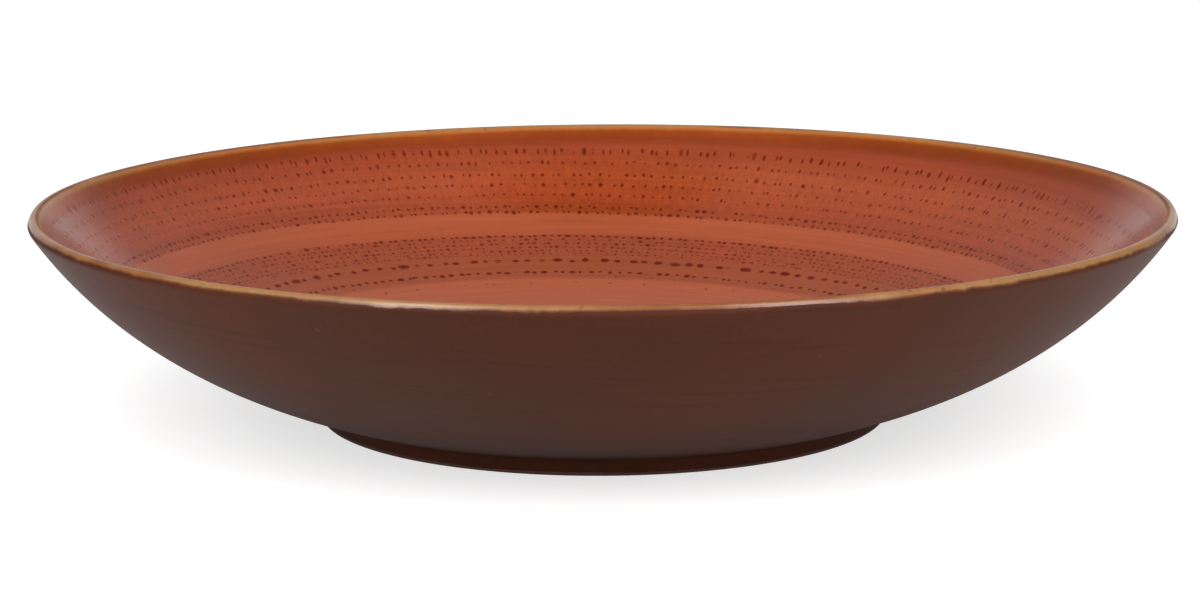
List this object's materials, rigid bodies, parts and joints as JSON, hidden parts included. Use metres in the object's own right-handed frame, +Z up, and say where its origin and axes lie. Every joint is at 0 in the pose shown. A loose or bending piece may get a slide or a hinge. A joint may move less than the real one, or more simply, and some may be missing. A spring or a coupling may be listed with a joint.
{
  "type": "deep plate",
  "caption": "Round rimless deep plate on a low foot ring: glossy coral glaze inside with concentric rows of dark dots, an ochre lip and a matt brown back.",
  "frame": {"origin": "centre of the foot ring's resting plane, on the table", "axes": "+Z up along the plate's axis of symmetry; +X to the right and +Y to the back as the picture sees it, though the plate looks the same from all round"},
  "size_m": [0.28, 0.28, 0.053],
  "materials": {
    "clay_body": "bare ground red-brown clay",
    "inside_glaze": "glossy coral glaze with rows of dark brown dots",
    "rim_band": "glossy ochre glaze",
    "outside_glaze": "satin dark brown glaze",
    "underside_glaze": "satin dark brown glaze"
  },
  "bodies": {
    "root": {"clay_body": "clay_body", "inside_glaze": "inside_glaze", "rim_band": "rim_band", "outside_glaze": "outside_glaze", "underside_glaze": "underside_glaze"}
  },
  "joints": []
}
